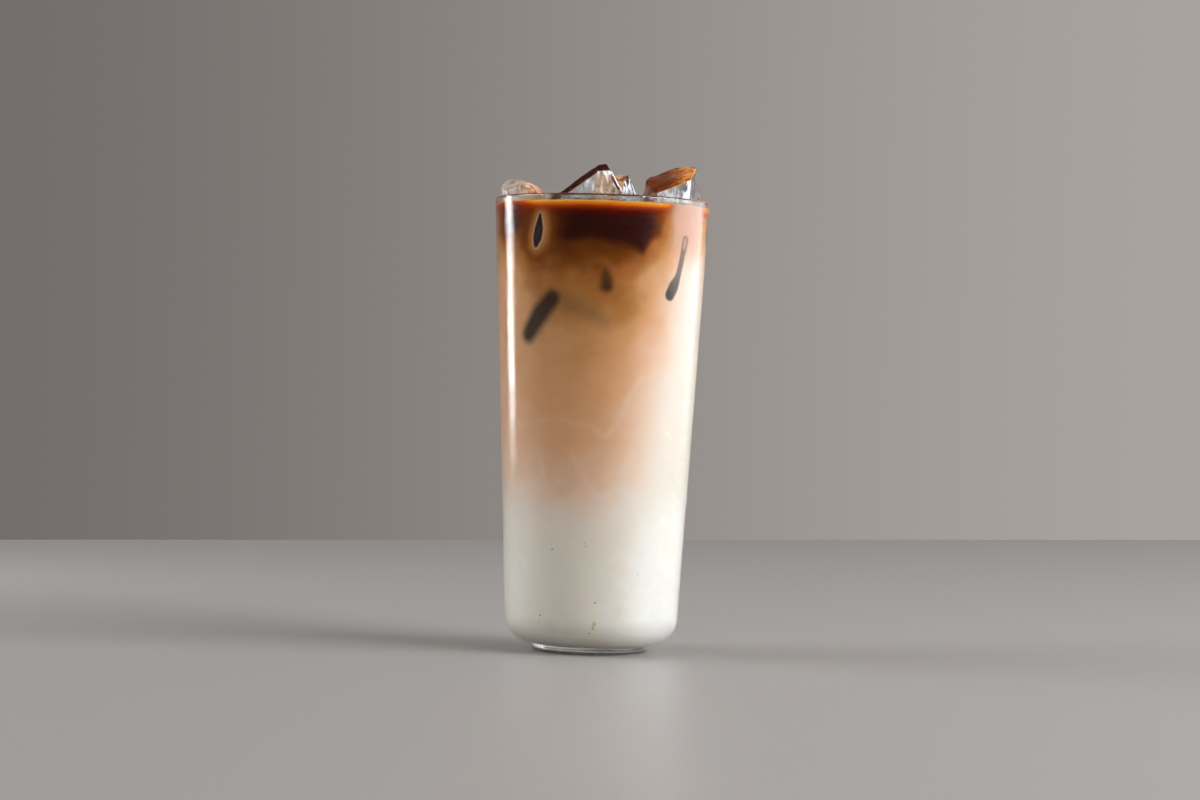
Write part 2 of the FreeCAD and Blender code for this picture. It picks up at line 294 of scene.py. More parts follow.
def clear_ice(name, film_colours):
    """Frozen water, split and melting: clear, with white crack clusters and a film of coffee.

    The broken faces have 3.3 mm facets under 2.4 mm ripples of melt, which bend what is seen through
    them. The cracks are 1.9 mm apart and run upwards; they gather on the faces turned to the lamps, so
    their white is partly painted highlight. The film pools in 3.3 mm patches and is darker where it is
    thick.
    """
    material, tree, output = new_material(name)
    place = add_node(tree, "ShaderNodeTexCoord").outputs["Object"]
    film = painted_value(tree, "coffee_film")
    facets = add_node(tree, "ShaderNodeTexVoronoi", Vector=place, Scale=pattern_scale(3.333))
    ripple = add_node(tree, "ShaderNodeTexNoise", Vector=place, Scale=pattern_scale(2.381), Detail=3.0)
    uneven = add_node(tree, "ShaderNodeMath", {"operation": "MULTIPLY_ADD"},
                      _0=facets.outputs["Distance"], _1=0.8, _2=ripple.outputs["Fac"])
    bump = add_node(tree, "ShaderNodeBump", Strength=0.55, Distance=0.6 * MM,
                    Height=uneven.outputs["Value"])
    ice = add_node(tree, "ShaderNodeBsdfPrincipled", Base_Color=linear("#F6FBFD"), Roughness=0.02,
                   IOR=1.31, Transmission_Weight=1.0, Normal=bump.outputs["Normal"])
    upright = add_node(tree, "ShaderNodeMapping", Vector=place, Scale=(1.0, 1.0, 0.3))
    streak = add_node(tree, "ShaderNodeTexNoise", Vector=upright.outputs["Vector"],
                      Scale=pattern_scale(1.923), Detail=3.0, Distortion=0.8)
    broken = add_node(tree, "ShaderNodeMapRange", {"interpolation_type": "SMOOTHSTEP"},
                      Value=streak.outputs["Fac"], From_Min=0.44, From_Max=0.56)
    crack_glint_share = add_node(tree, "ShaderNodeMath", {"operation": "MULTIPLY", "use_clamp": True},
                           _0=painted_value(tree, "cracks_and_glints"), _1=broken.outputs["Result"])
    crack_glint_white = add_node(tree, "ShaderNodeBsdfPrincipled", Base_Color=linear("#F2F7FB"), Roughness=0.35,
                     IOR=1.31, Transmission_Weight=0.25, Normal=bump.outputs["Normal"])
    cracked = add_node(tree, "ShaderNodeMixShader", _0=crack_glint_share.outputs["Value"],
                       _1=ice.outputs["BSDF"], _2=crack_glint_white.outputs["BSDF"])
    swirl = add_node(tree, "ShaderNodeTexNoise", Vector=place, Scale=pattern_scale(3.333), Detail=4.0,
                     Distortion=1.5)
    thickness = add_node(tree, "ShaderNodeMath", {"operation": "MULTIPLY_ADD", "use_clamp": True},
                         _0=swirl.outputs["Fac"], _1=2.2, _2=-1.1)
    patchy = add_node(tree, "ShaderNodeMath", {"operation": "ADD", "use_clamp": True},
                      _0=film, _1=thickness.outputs["Value"])
    tone = colour_ramp(tree, patchy.outputs["Value"], film_colours)
    wetted = add_node(tree, "ShaderNodeMapRange", {"interpolation_type": "SMOOTHSTEP"},
                      Value=film, From_Min=0.05, From_Max=0.45)
    coffee = add_node(tree, "ShaderNodeBsdfPrincipled", Base_Color=tone.outputs["Color"], Roughness=0.10,
                      IOR=1.34, Transmission_Weight=0.15, Normal=bump.outputs["Normal"])
    mixed = add_node(tree, "ShaderNodeMixShader", _0=wetted.outputs["Result"],
                     _1=cracked.outputs["Shader"], _2=coffee.outputs["BSDF"])
    tree.links.new(mixed.outputs["Shader"], output.inputs["Surface"])
    return material


def sunk_ice_shade_finish():
    """Ice pressed to the wall with dark coffee behind it, painted dark as shade: a dim violet-brown
    block, slightly glossy and clouded in 4.5 mm patches."""
    material, tree, output = new_material("sunk_ice")
    place = add_node(tree, "ShaderNodeTexCoord").outputs["Object"]
    cloud = add_node(tree, "ShaderNodeTexNoise", Vector=place, Scale=pattern_scale(4.545), Detail=3.0)
    colour = colour_ramp(tree, cloud.outputs["Fac"], ((0.35, "#1E1215"), (0.65, "#3A2A2C")))
    shader = add_node(tree, "ShaderNodeBsdfPrincipled", Base_Color=colour.outputs["Color"],
                      Roughness=0.5, IOR=1.31)
    tree.links.new(shader.outputs["BSDF"], output.inputs["Surface"])
    return material


def stage_floor():
    """A plain pale table top with a soft sheen."""
    material, tree, output = new_material("pale_table")
    shader = add_node(tree, "ShaderNodeBsdfPrincipled", Base_Color=linear("#8C8884"), Roughness=0.42)
    tree.links.new(shader.outputs["BSDF"], output.inputs["Surface"])
    return material


# ---------------------------------------------------------------- turned shapes

def arc(centre_radius, centre_height, radius, start, end, steps):
    """Points along an arc in the turning plane, from start to end in degrees."""
    angles = [math.radians(start + (end - start) * i / steps) for i in range(steps + 1)]
    return [(centre_radius + radius * math.cos(a), centre_height + radius * math.sin(a)) for a in angles]


def outer_radius(height):
    """Radius of the outside of the straight wall at a height."""
    return BASE_RADIUS + TAPER * (height - FOOT_HEIGHT)


def inner_profile(offset, top):
    """The inside of the tumbler from the middle of its floor to a height, grown by an offset."""
    radius = SHOULDER - WALL
    run = radius / math.tan(math.radians(45) + LEAN / 2)
    centre = outer_radius(INNER_FLOOR) - WALL - run
    bend = arc(centre, INNER_FLOOR + radius, radius + offset, -90, -math.degrees(LEAN), 22)
    points = [(0.0, INNER_FLOOR - offset), (centre / 2, INNER_FLOOR - offset)] + bend
    rows = int((top - bend[-1][1]) / ROW_STEP)
    for row in range(1, rows + 1):
        height = bend[-1][1] + (top - bend[-1][1]) * row / rows
        points.append((outer_radius(height) - WALL + offset, height))
    return points


def turn_bearings(fine_zones):
    """Bearings round the glass in degrees from the front, closer together in the fine zones."""
    bearings = []
    bearing = -180.0
    while bearing < 180.0 - FINE_STEP / 2:
        bearings.append(bearing)
        fine = any(low <= bearing < high for low, high in fine_zones)
        bearing += FINE_STEP if fine else TURN_STEP
    return bearings


def turn(name, profile, materials, fine_zones=()):
    """A solid of revolution from (radius, height) points; points on the axis become one vertex."""
    body = bmesh.new()
    bearings = [math.radians(bearing) for bearing in turn_bearings(fine_zones)]
    steps = len(bearings)
    rings = []
    for radius, height in profile:
        if radius < 1e-9:
            rings.append([body.verts.new((0.0, 0.0, height))])
            continue
        ring = []
        for bearing in bearings:
            ring.append(body.verts.new((radius * math.sin(bearing), -radius * math.cos(bearing), height)))
        rings.append(ring)
    for lower, upper in zip(rings, rings[1:]):
        for i in range(steps):
            j = (i + 1) % steps
            if len(lower) == 1:
                body.faces.new((lower[0], upper[j], upper[i]))
            elif len(upper) == 1:
                body.faces.new((lower[i], lower[j], upper[0]))
            else:
                body.faces.new((lower[i], lower[j], upper[j], upper[i]))
    bmesh.ops.recalc_face_normals(body, faces=body.faces)
    mesh = bpy.data.meshes.new(name)
    body.to_mesh(mesh)
    body.free()
    return add_object(name, mesh, materials)


def make_tumbler(glass):
    """The tumbler: flat foot, round shoulder, straight tapered wall, fire-polished rim and inside."""
    lean = math.degrees(LEAN)
    bevel_centre = FOOT_RADIUS - FOOT_BEVEL
    profile = [(0.0, 0.0), (bevel_centre, 0.0)]
    profile += arc(bevel_centre, FOOT_BEVEL, FOOT_BEVEL, -75, 0, 8)
    profile += arc(FOOT_RADIUS + FOOT_FILLET, FOOT_HEIGHT - FOOT_FILLET, FOOT_FILLET, 180, 90, 3)
    profile += arc(FOOT_RADIUS + FOOT_LEDGE, FOOT_HEIGHT + SHOULDER, SHOULDER, -90, -lean, 30)
    rim = WALL / 2
    shoulder_top = profile[-1][1]
    for row in range(1, OUTER_ROWS):
        height = shoulder_top + (GLASS_HEIGHT - rim - shoulder_top) * row / OUTER_ROWS
        profile.append((outer_radius(height), height))
    profile += arc(outer_radius(GLASS_HEIGHT) - rim, GLASS_HEIGHT - rim, rim, -lean, 180, 14)
    inside = inner_profile(0.0, GLASS_HEIGHT - rim - ROW_STEP)
    profile += reversed(inside[::INNER_ROW_SKIP])
    tumbler = turn("tumbler", profile, [glass])
    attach(tumbler, "root")
    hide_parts("glass")
    return tumbler


# ---------------------------------------------------------------- the drink

# Mean share of coffee by height in mm. The 0.04 low down tints the milk cream: painted warm shade, which
# the pale sides take away where the light falls.
LAYERS = (
    (30.0, 0.04), (44.0, 0.09), (50.0, 0.19), (54.0, 0.31), (66.5, 0.42), (85.0, 0.50), (101.0, 0.55),
    (114.0, 0.63), (120.5, 0.71), (126.0, 0.81), (132.0, 0.90), (136.0, 1.00),
)
# The layers wander by so many mm with slow swells and with curls: first where the milk meets the
# mix, then further up. The share of coffee varies with the curls too, and with fine swirls near the
# top. The sizes of the swells, curls and swirls are in mm.
SWELL_SIZE = 22.22
CURL_SIZE = 11.11
SWIRL_SIZE = 4.167
MILK_WANDER = (4.5, 3.2)
TOP_WANDER = (5.0, 2.6)
CURL_SHARE = 0.035
SWIRL_SHARE = 0.03
# How many degrees the curls push the pale sides, and the feet and ends of the pools; how many mm
# they push the pools' lower edge.
SIDE_SWAY = 5.0
FOOT_SWAY = 2.0
END_SWAY = 3.0
FOOT_WANDER = 1.2

# Pools of neat espresso: (bearing, foot in mm) along the lower edge of each. They thin out softly
# over the last POOL_END degrees, and downwards over POOL_BLUR mm either side of the foot. The mix
# under them holds at most POOL_LIMIT of coffee. None reaches below POOLS_OVER mm.
POOLS = (
    ((-73.0, 138.0), (-64.0, 136.8), (-52.0, 136.6), (-42.0, 138.0)),
    ((-31.0, 134.5), (-18.8, 133.2), (-9.0, 133.6), (0.0, 133.4), (7.3, 132.8), (14.7, 131.7),
     (20.8, 130.2), (24.0, 130.0), (27.5, 132.6), (32.0, 135.5), (39.0, 138.5)),
    ((74.0, 136.0), (88.0, 134.0), (99.0, 132.0), (108.0, 135.0), (120.0, 136.0)),
    ((132.0, 136.0), (146.0, 134.0), (160.0, 131.0), (176.0, 129.5), (190.0, 133.0), (206.0, 136.0)),
    ((-136.0, 136.0), (-124.0, 134.0), (-112.0, 131.5), (-100.0, 134.0), (-88.0, 136.0)),
)
POOL_END = 17.0
POOL_LIMIT = 0.86
POOLS_OVER = 124.0
POOL_BLUR = 1.8

# How many mm higher a layer lies than its mean, at bearings round the glass; full only right under
# the coffee, between these heights in mm.
LAYER_LIFT = (
    (-180.0, 3.0), (-120.0, 3.0), (-58.0, 3.0), (-42.0, 0.0), (4.0, 0.0), (24.0, 6.0), (60.0, 6.0),
    (120.0, 1.0), (180.0, 3.0),
)
LIFT_HEIGHTS = (100.0, 122.0)

# A rosy haze in front of the coffee, partly milk that clings to the wall and partly painted sheen on
# the sides where the lamps fall: bearings where it starts, is full, is still full and is gone, heights
# in mm where it starts and is full, and its strength. It hangs in streaks, which vary its lower edge
# by some mm and its strength by a share.
HAZE_AND_SHEEN_BANDS = (
    (37.5, 45.5, 65.0, 72.0, 124.0, 137.0, 0.72),
    (226.0, 232.0, 240.0, 250.0, 124.0, 136.0, 0.30),
)
STREAK_WIDTH = 1.111 * MM
STREAK_LENGTH = 25.0 * MM
STREAK_DROP = 4.0
STREAK_SHARE = 0.18

# Pale wisps drawn out of the milk: (bearing, height in mm) points, then width in mm and strength.
WISPS = (
    (((-84.0, 71.5), (-60.0, 73.0), (-42.0, 74.7), (-25.6, 76.0), (-14.2, 75.2), (-2.0, 73.6),
      (3.5, 71.0), (10.0, 73.4), (16.4, 79.9), (20.0, 85.0), (27.0, 90.0)), 1.0, 0.055),
    (((-13.9, 64.5), (-8.1, 59.0), (-1.0, 53.4), (6.1, 52.0), (12.0, 55.0)), 1.2, 0.055),
    (((-36.0, 64.0), (-33.0, 58.0), (-29.0, 53.5), (-22.0, 56.0)), 1.2, 0.045),
    (((22.0, 66.0), (17.0, 60.0), (18.0, 54.0)), 1.5, 0.04),
    (((40.0, 74.0), (62.0, 70.0), (80.0, 72.0), (96.0, 66.0), (104.0, 56.0)), 1.2, 0.045),
    (((124.0, 77.0), (141.0, 70.0), (152.0, 74.0), (163.0, 64.0), (160.0, 55.0)), 1.2, 0.045),
    (((190.0, 72.0), (181.0, 63.0), (186.0, 53.0)), 1.3, 0.055),
    (((236.0, 78.0), (250.0, 70.0), (262.0, 72.0), (258.0, 58.0)), 1.2, 0.045),
)
# A wisp's mean strength, and the size in mm of the swells that make it come and go.
WISP_MEAN = 0.8
WISP_FADE_SIZE = 6.25

# Ice under the surface where it comes up to the wall, as painted shade: the clear ice shows the
# shadowed drink behind it, and that darkness is painted into the drink's colour. Each line follows an
# edge through (bearing, height in mm) points with a half width in mm at each; "dark" is how dark the
# painted shade of the ice shows through the film of drink along the line, "blur" how softly it ends in
# mm, "cool" how blue it looks, "halo" how much the coffee thins round it, and "hollow" the share of the
# line's start where only the outline is dark.
WINDOWS = (
    {"line": ((-35.3, 141.6), (-36.2, 137.0), (-37.4, 133.8), (-38.4, 131.6)),
     "half": (0.15, 1.50, 1.60, 0.8), "dark": (0.99, 0.95), "blur": 0.5, "cool": 0.7, "halo": 1.0},
    {"line": ((-44.0, 103.0), (-35.5, 109.5), (-27.5, 114.5)), "half": (2.2, 2.7, 2.3),
     "dark": (0.94, 0.92), "blur": 2.4, "cool": 0.1},
    {"line": ((-24.0, 114.8), (-11.3, 111.6), (2.0, 107.7)), "half": (1.4, 2.4, 1.2),
     "dark": (0.30, 0.28), "blur": 3.4, "cool": 0.9},
    {"line": ((2.6, 124.2), (3.1, 121.4), (3.6, 118.8)), "half": (0.2, 1.3, 1.6),
     "dark": (0.70, 0.88), "blur": 2.0, "cool": 0.1},
    {"line": ((52.4, 134.6), (50.6, 129.0), (48.2, 123.4), (45.2, 119.6), (42.6, 116.8)),
     "half": (1.35, 1.1, 1.05, 2.0, 1.8), "dark": (0.74, 0.84, 0.95), "blur": 0.55, "cool": 1.0,
     "hollow": 0.17},
    {"line": ((112.0, 128.0), (118.0, 120.0), (121.0, 113.0)), "half": (1.2, 2.2, 1.5),
     "dark": (0.85, 0.85), "blur": 1.4, "cool": 0.5},
    {"line": ((163.0, 138.0), (164.5, 133.5), (166.0, 129.5)), "half": (0.2, 1.3, 0.8),
     "dark": (0.97, 0.95), "blur": 0.5, "cool": 0.6, "halo": 0.9},
    {"line": ((-152.0, 118.0), (-143.0, 112.0)), "half": (1.6, 2.2), "dark": (0.85, 0.85), "blur": 1.8},
    {"line": ((-95.0, 110.0), (-90.0, 103.0)), "half": (1.2, 1.8), "dark": (0.60, 0.60), "blur": 1.6},
)
# Round such a window the coffee thins to a pale line, this far out and this wide in mm, and then to
# a golden glow; each takes this share of coffee away.
PALE_LINE = (0.40, 0.36, 0.42)
GOLD_GLOW = (0.6, 1.9, 0.19)
HALO_REACH = 6.0
# How much of the dark is gone inside a hollow outline, and the mm from the edge over which it goes.
HOLLOW_CLEAR = 0.6
HOLLOW_EDGE = (0.35, 0.8)

# The coffee's edge with its painted glow: how far below the level it starts and ends in mm, how far
# that wanders over swells of a size in mm, and how bright the painted glow stays to the left of a
# bearing, away from the key lights, softened over some degrees on either side.
EDGE_TOP = -0.75
EDGE_FOOT = 5.0
EDGE_WANDER = 0.6
EDGE_SWELL_SIZE = 9.09
EDGE_DIM = 0.72
EDGE_DIM_FROM = -44.0
EDGE_DIM_SOFT = 8.0

# Streaks where the coffee is thinner or thicker than round it: (bearing, height in mm) points, width
# in mm and the share of coffee that is missing.
AMBER_STREAKS = (
    (((-31.0, 143.0), (-30.0, 136.0), (-31.0, 128.0)), 3.0, 0.07),
    (((-82.0, 146.0), (-81.0, 140.0), (-80.0, 134.0)), 4.0, 0.10),
    (((72.5, 145.0), (73.5, 131.0)), 1.5, -0.20),
    (((124.0, 143.0), (126.0, 131.0)), 3.6, 0.10),
    (((214.0, 143.0), (212.0, 130.0)), 3.6, 0.10),
)

# The mix is paler down the right of the glass, where the key lights fall, and a little down its left,
# where the left lamps fall: partly a thinner mix and partly painted light. Low down this also takes
# away the milk's painted warm shade. The bearings where that starts, is full, is still full and is
# gone, each low in the glass and at its top, and what share of the coffee is missing there low down
# and at the top. The bearings move between the first heights in mm, and the share between the second.
PALE_AND_LIT_SIDES = (
    {"bearings": ((-7.0, 20.0), (54.0, 66.0), (104.0, 72.0), (140.0, 92.0)), "low": 0.86, "top": 0.56},
    {"bearings": ((-132.0, -128.0), (-100.0, -100.0), (-62.0, -58.0), (-40.0, -36.0)), "low": 0.28,
     "top": 0.04},
)
PALE_HEIGHTS = (58.0, 140.0)
PALE_FADE = (122.0, 138.0)

# The wall's mean inner radius in mm, and how many mm a degree round it is.
MEAN_RADIUS = 33.0
MM_A_DEGREE = 0.58


def wall_point(bearing, height, inset=0.0):
    """A point on the inside of the wall, from its bearing and its height in mm."""
    radius = outer_radius(height * MM) - WALL - inset
    turned = math.radians(bearing)
    return Vector((radius * math.sin(turned), -radius * math.cos(turned), height * MM))


def trace(points, spacing=0.25):
    """Places every so many mm along a smooth line through (bearing, height) points, each with its
    place in the list, such as 1.4."""
    ends = [points[0]] + list(points) + [points[-1]]
    line = []
    for k in range(1, len(ends) - 2):
        before, start, end, after = ends[k - 1:k + 3]
        reach = math.hypot((end[0] - start[0]) * MM_A_DEGREE, end[1] - start[1])
        steps = max(2, int(reach / spacing))
        for i in range(steps + (k == len(ends) - 3)):
            t = i / steps
            spot = [0.5 * (2 * b + (c - a) * t + (2 * a - 5 * b + 4 * c - d) * t * t
                           + (3 * b - a - 3 * c + d) * t ** 3)
                    for a, b, c, d in zip(before, start, end, after)]
            line.append((spot[0], spot[1], k - 1 + t))
    return line


def value_along(values, place):
    """A value between listed ones at a place such as 1.4."""
    first = min(int(place), len(values) - 2)
    return values[first] + (values[first + 1] - values[first]) * (place - first)


def value_between(stops, place):
    """A value read off a line through (place, value) stops."""
    for (low, low_value), (high, high_value) in zip(stops, stops[1:]):
        if place <= high:
            return low_value + (high_value - low_value) * (place - low) / (high - low)
    return stops[-1][1]


def line_tree(points):
    """A search tree over a traced line on the wall."""
    line = trace(points)
    tree = KDTree(len(line))
    for index, (bearing, height, _) in enumerate(line):
        tree.insert(wall_point(bearing, height), index)
    tree.balance()
    return tree, line


def layer_share(height):
    """The mean share of coffee at a height in mm."""
    if height <= LAYERS[0][0]:
        return LAYERS[0][1]
    return value_between(LAYERS, height)


def haze_and_sheen(spot):
    """How much rosy haze, partly milk and partly painted sheen, lies in front of a place in the drink."""
    height = spot.z / MM
    streak = noise.noise(Vector((spot.x / STREAK_WIDTH, spot.y / STREAK_WIDTH, spot.z / STREAK_LENGTH)))
    total = 0.0
    for start, full, last, end, low, high, strength in HAZE_AND_SHEEN_BANDS:
        for bearing in (bearing_of(spot), bearing_of(spot) + 360):
            across = smooth_step(start, full, bearing) * (1 - smooth_step(last, end, bearing))
            total = max(total, strength * across * smooth_step(low, high, height + STREAK_DROP * streak))
    return total * (1 + STREAK_SHARE * streak)


def pool_foot(bearing):
    """The height of the lower edge of the espresso at a bearing; above the surface between pools."""
    for pool in POOLS:
        for (start, start_foot), (end, end_foot) in zip(pool, pool[1:]):
            if start <= bearing < end or start <= bearing + 360 < end:
                along = (bearing - start) % 360 / (end - start)
                return start_foot + (end_foot - start_foot) * along
    return 2 * LEVEL / MM


def pool_side(bearing):
    """1 inside a pool, falling softly to 0 at its ends."""
    for pool in POOLS:
        start, end = pool[0][0], pool[-1][0]
        middle, half = (start + end) / 2, (end - start) / 2
        away = abs((bearing - middle + 180) % 360 - 180)
        if away < half:
            return 1 - smooth_step(half - POOL_END, half, away)
    return 0.0


def coffee_share(spot):
    """The share of coffee at a place in the drink: layers, slow waves, curls and espresso pools."""
    bearing = bearing_of(spot)
    height = spot.z / MM
    slow = swell(spot, SWELL_SIZE, Vector((3.1, 0.4, 7.7)))
    curl = noise.turbulence_vector(spot / (CURL_SIZE * MM), 3, False, amplitude_scale=0.55,
                                   frequency_scale=2.1)
    milk_swing = MILK_WANDER[0] * slow + MILK_WANDER[1] * curl.x
    top_swing = TOP_WANDER[0] * slow + TOP_WANDER[1] * curl.y
    blend = smooth_step(60, 105, height)
    lift = value_between(LAYER_LIFT, bearing) * smooth_step(*LIFT_HEIGHTS, height)
    share = layer_share(height - lift + milk_swing * (1 - blend) + top_swing * blend)
    share += CURL_SHARE * curl.z * smooth_step(45, 70, height)
    share += SWIRL_SHARE * swell(spot, SWIRL_SIZE) * smooth_step(104, 120, height)
    share = min(share, POOL_LIMIT)
    up = smooth_step(*PALE_HEIGHTS, height)
    swayed = bearing + SIDE_SWAY * curl.x
    for side in PALE_AND_LIT_SIDES:
        start, full, last, end = (low + (top - low) * up for low, top in side["bearings"])
        missing = side["low"] + (side["top"] - side["low"]) * smooth_step(*PALE_FADE, height)
        share *= 1 - missing * smooth_step(start, full, swayed) * (1 - smooth_step(last, end, swayed))
    if height > POOLS_OVER:
        foot = pool_foot(bearing + FOOT_SWAY * curl.x)
        pool = smooth_step(foot - POOL_BLUR, foot + POOL_BLUR, height + FOOT_WANDER * curl.y)
        share += (1.0 - share) * pool * pool_side(bearing + END_SWAY * curl.x)
    return min(1.0, max(0.0, share))


def window_at(spot, windows):
    """How dark and how blue the painted shade of sunk ice is at a place, and how much coffee is missing
    round it.
    """
    shade = cool = missing = 0.0
    for tree, line, window in windows:
        _, index, gap = tree.find(spot)
        place = line[index][2]
        outside = gap / MM - value_along(window["half"], place)
        if outside > HALO_REACH:
            continue
        blur = window["blur"]
        along = min(1.0, place / (len(window["line"]) - 1))
        dark = value_along(window["dark"], along * (len(window["dark"]) - 1))
        dark *= 1 - smooth_step(-blur / 2, blur, outside)
        if "hollow" in window:
            hollow = 1 - smooth_step(0.7, 1.0, along / window["hollow"])
            dark *= 1 - HOLLOW_CLEAR * hollow * smooth_step(*HOLLOW_EDGE, -outside)
        if dark > shade:
            shade, cool = dark, window.get("cool", 0.0)
        if "halo" in window:
            for distance, width, share in (PALE_LINE, GOLD_GLOW):
                fade = math.exp(-((outside - distance) / width) ** 2)
                missing = max(missing, window["halo"] * share * fade)
    return shade, cool, missing


def paint_drink(drink):
    """Stores, at each point of the drink, its share of coffee, the painted glow of its edge, the haze with
    its painted sheen, and the painted shade of sunk ice.
    """
    painted = {"coffee_share": [], "coffee_edge_glow": [], "haze_and_sheen": [], "ice_shade": [], "ice_shade_cool": []}
    wisps = [(line_tree(points)[0], width * MM, strength) for points, width, strength in WISPS]
    streaks = [(line_tree(points)[0], width * MM, missing) for points, width, missing in AMBER_STREAKS]
    windows = [line_tree(window["line"]) + (window,) for window in WINDOWS]
    for vertex in drink.data.vertices:
        spot = vertex.co
        share = coffee_share(spot)
        for tree, width, strength in wisps:
            fade = math.exp(-(tree.find(spot)[2] / width) ** 2)
            share -= strength * fade * (WISP_MEAN + swell(spot, WISP_FADE_SIZE))
        for tree, width, missing in streaks:
            share -= missing * math.exp(-(tree.find(spot)[2] / width) ** 2)
        shade, cool, thinned = window_at(spot, windows)
        haze = haze_and_sheen(spot)
        below = (LEVEL - spot.z) / MM + EDGE_WANDER * swell(spot, EDGE_SWELL_SIZE)
        # The glow of the coffee's edge is painted light, dimmer to the left, away from the key lights.
        bright = smooth_step(EDGE_DIM_FROM - EDGE_DIM_SOFT, EDGE_DIM_FROM + EDGE_DIM_SOFT, bearing_of(spot))
        thin = 1 - straight_ramp(EDGE_TOP, EDGE_FOOT, below)
        thin *= EDGE_DIM + (1 - EDGE_DIM) * bright
        painted["coffee_share"].append(min(1.0, max(0.0, share - thinned)))
        painted["coffee_edge_glow"].append(thin * (1 - haze))
        painted["haze_and_sheen"].append(haze)
        painted["ice_shade"].append(shade)
        painted["ice_shade_cool"].append(cool)
    for name, values in painted.items():
        store(drink, name, values)


def make_drink(side, surface):
    """The drink as one closed body that fills the tumbler to its level and climbs the wall a little."""
    profile = inner_profile(REACH, LEVEL + MENISCUS_RISE)
    wall_radius = profile[-1][0]
    for ring in range(1, MENISCUS_RINGS + 1):
        inward = ring / MENISCUS_RINGS
        height = LEVEL + MENISCUS_RISE * (1 - inward) ** 3
        profile.append((wall_radius - MENISCUS_WIDTH * inward, height))
    flat_radius = profile[-1][0]
    for ring in range(1, SURFACE_RINGS):
        profile.append((flat_radius * (1 - ring / SURFACE_RINGS), LEVEL))
    profile.append((0.0, LEVEL))
    drink = turn("drink", profile, [side, surface], FINE_ZONES)
    top_start = LEVEL - 0.05 * MM
    for face in drink.data.polygons:
        if face.center.z > top_start and face.normal.z > 0.05:
            face.material_index = 1
    paint_drink(drink)
    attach(drink, "root")
    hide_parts("milk", "milk_coffee", "coffee")
    return drink


# ---------------------------------------------------------------- ice

# Corners of the floating pieces in mm; the hull of each list is the piece before it melts. The film
# colours go from the thinnest coffee to the thickest.
FLOATING = {
    "ice_left": {
        "corners": ((-33.6, 0, 151.2), (-33.0, 3, 153.4), (-31.0, 4, 154.6), (-27.5, 6, 154.7),
                    (-24.0, 5, 153.7), (-20.5, 4, 151.6), (-18.5, 8, 149.6), (-19, -2, 148.6),
                    (-32.5, 8, 151.0), (-31.5, -4, 150.0), (-26.0, -3.0, 152.6), (-31.5, 5, 134.0),
                    (-20, 8, 132.5), (-19, -2, 133.0), (-29.5, -3, 135.0)),
        "melt": 6, "seed": 11,
        "film": ((0.05, "#F6EBE0"), (0.35, "#E6BE9A"), (0.60, "#C08055"), (0.90, "#8A4B26"))},
    "ice_centre": {
        "corners": ((-18.6, -15.5, 145.6), (-18.2, -4.8, 145.4), (-3.2, -14.0, 156.9),
                    (-3.0, -6.0, 157.9), (-1.8, -12.0, 159.0), (0.8, -12.5, 159.3), (1.6, -8.0, 158.9),
                    (2.2, -14.0, 155.6), (5.2, -15.0, 150.5), (8.0, -5.0, 148.5), (10.2, -13.5, 143.5),
                    (9.8, -4.5, 143.0), (-6, -14, 129.5), (-5, -5, 129.8)),
        "melt": 2, "seed": 23,
        "film": ((0.20, "#B8793F"), (0.45, "#7A3A18"), (0.75, "#451A0B"), (1.00, "#2B0D06"))},
    "ice_back": {
        "corners": ((2.6, 5, 157.0), (-2.5, 8, 154.5), (7.8, 3, 157.3), (10.8, 6, 151.4),
                    (11.6, 4, 147.0), (3.5, -2.0, 150.5), (6.8, -2.0, 152.5), (-3.5, 3, 147),
                    (2.5, 13, 151.5), (9.5, 10, 150.0), (1.5, -1.5, 136.5), (10, 5, 136.5),
                    (-3, 6, 136.5), (5, 13.5, 136.5)),
        "melt": 2, "seed": 31,
        "film": ((0.20, "#E6CDB6"), (0.45, "#C79B74"), (0.75, "#8E5A36"), (1.00, "#5A2C14"))},
    "ice_right": {
        "corners": ((12.9, -4, 148.5), (14.0, -2.5, 154.9), (15.0, -1, 156.0), (24.0, 3, 160.0),
                    (29.9, 1.5, 160.3), (30.6, -2, 158.5), (17.4, -12.5, 150.3), (26.2, -13.2, 153.8),
                    (28.6, -12.4, 155.1), (32.2, -1.5, 149.5), (13.6, -9.5, 134.0), (27.2, -13.2, 133.2),
                    (31.4, 0.5, 133.4), (18.6, 4.6, 133.6)),
        "melt": 2, "seed": 47,
        # The gold of this chip's thinnest film is partly painted light of the key lamps shining through it.
        "film": ((0.30, "#F2C07A"), (0.50, "#DA8A34"), (0.72, "#A8560F"), (1.00, "#5E2404"))},
}
ICE_VOXEL = 0.32 * MM
# The melt's dents: how far across and how deep, in mm.
DENTS = ((4.348, 0.22), (1.613, 0.08))


def apply_modifiers(piece):
    """Makes a piece's mesh what its modifiers show, and drops them."""
    graph = bpy.context.evaluated_depsgraph_get()
    mesh = bpy.data.meshes.new_from_object(piece.evaluated_get(graph))
    piece.modifiers.clear()
    old = piece.data
    piece.data = mesh
    bpy.data.meshes.remove(old)
    for face in mesh.polygons:
        face.use_smooth = True


